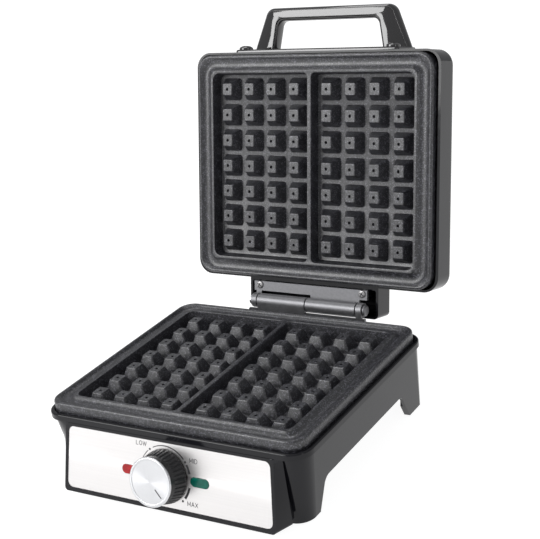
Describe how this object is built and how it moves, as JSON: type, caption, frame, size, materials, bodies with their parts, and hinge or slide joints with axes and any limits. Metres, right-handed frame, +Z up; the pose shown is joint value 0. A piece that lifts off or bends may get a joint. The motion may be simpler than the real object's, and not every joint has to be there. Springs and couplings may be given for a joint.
{
  "type": "waffle maker",
  "caption": "Hinged double waffle maker: cast plates, a legged base with a dial and two lamps, and a lid with a loop handle, standing open.",
  "frame": {"origin": "on the table surface, under the middle of the whole object with its lid open", "axes": "+X to the right seen from the front, +Y to the back where the hinge is, +Z up; at rest the lid is open on its stop"},
  "size_m": [0.2304, 0.3467, 0.2971],
  "materials": {
    "gloss_black_plastic": "high gloss moulded black",
    "black_plastic": "matt moulded black",
    "handle_gloss": "mirror-gloss moulded black",
    "nonstick": "dark non-stick coating with fine metallic speckle on cast aluminium",
    "brushed_steel": "horizontal brushed",
    "spun_aluminium": "spun and polished, bright turned rim",
    "knob_black": "satin black, ribbed",
    "red_lens": "clear red plastic",
    "green_lens": "clear green plastic",
    "lamp_glass": "clear",
    "hinge_steel": "dark grey satin coating",
    "dark_screw": "dark oxide",
    "zinc_steel": "bright zinc",
    "plain_steel": "plain steel",
    "element_steel": "heat-tinted sheath",
    "aluminised_sheet": "aluminised sheet",
    "black_rubber": "soft matt",
    "white_ceramic": "unglazed",
    "dark_bakelite": "dark brown phenolic",
    "brass": "plain brass"
  },
  "bodies": {
    "base": {"base_housing": "gloss_black_plastic", "bottom_cover": "black_plastic", "bottom_cover_screws": "zinc_steel", "rubber_feet": "black_rubber", "cord_gland": "black_rubber", "terminal_block": "white_ceramic", "terminal_screws": "brass", "thermal_fuse": "plain_steel", "panel_frame": "gloss_black_plastic", "control_panel": "brushed_steel", "red_lens": "red_lens", "green_lens": "green_lens", "indicator_lamps": "lamp_glass", "thermostat": "dark_bakelite", "thermostat_nut": "zinc_steel", "lower_plate": "nonstick", "lower_heating_element": "element_steel", "lower_reflector": "aluminised_sheet", "lower_plate_screws": "zinc_steel", "base_hinge_bracket": "hinge_steel", "base_hinge_screws": "zinc_steel", "hinge_pin": "hinge_steel", "pin_clip": "zinc_steel"},
    "lid": {"lid_shell": "gloss_black_plastic", "upper_plate": "nonstick", "upper_heating_element": "element_steel", "upper_reflector": "aluminised_sheet", "upper_plate_screws": "zinc_steel", "lid_hinge_bracket": "hinge_steel", "lid_hinge_screws": "dark_screw", "hinge_cover": "gloss_black_plastic", "hinge_cover_screws": "zinc_steel", "handle": "handle_gloss", "handle_screws": "handle_gloss"},
    "knob": {"knob_grip": "knob_black", "knob_cap": "spun_aluminium", "knob_clip": "plain_steel", "thermostat_shaft": "plain_steel"}
  },
  "joints": [
    {"name": "lid_hinge", "type": "hinge", "parent": "base", "child": "lid", "pos_m": [0, 0.067, 0.068], "axis": [1, 0, 0], "range_deg": [0, 105.4]},
    {"name": "knob_turn", "type": "hinge", "parent": "base", "child": "knob", "pos_m": [0, -0.15137, 0.03064], "axis": [0, -0.9617, 0.274], "range_deg": [0, 230]}
  ]
}
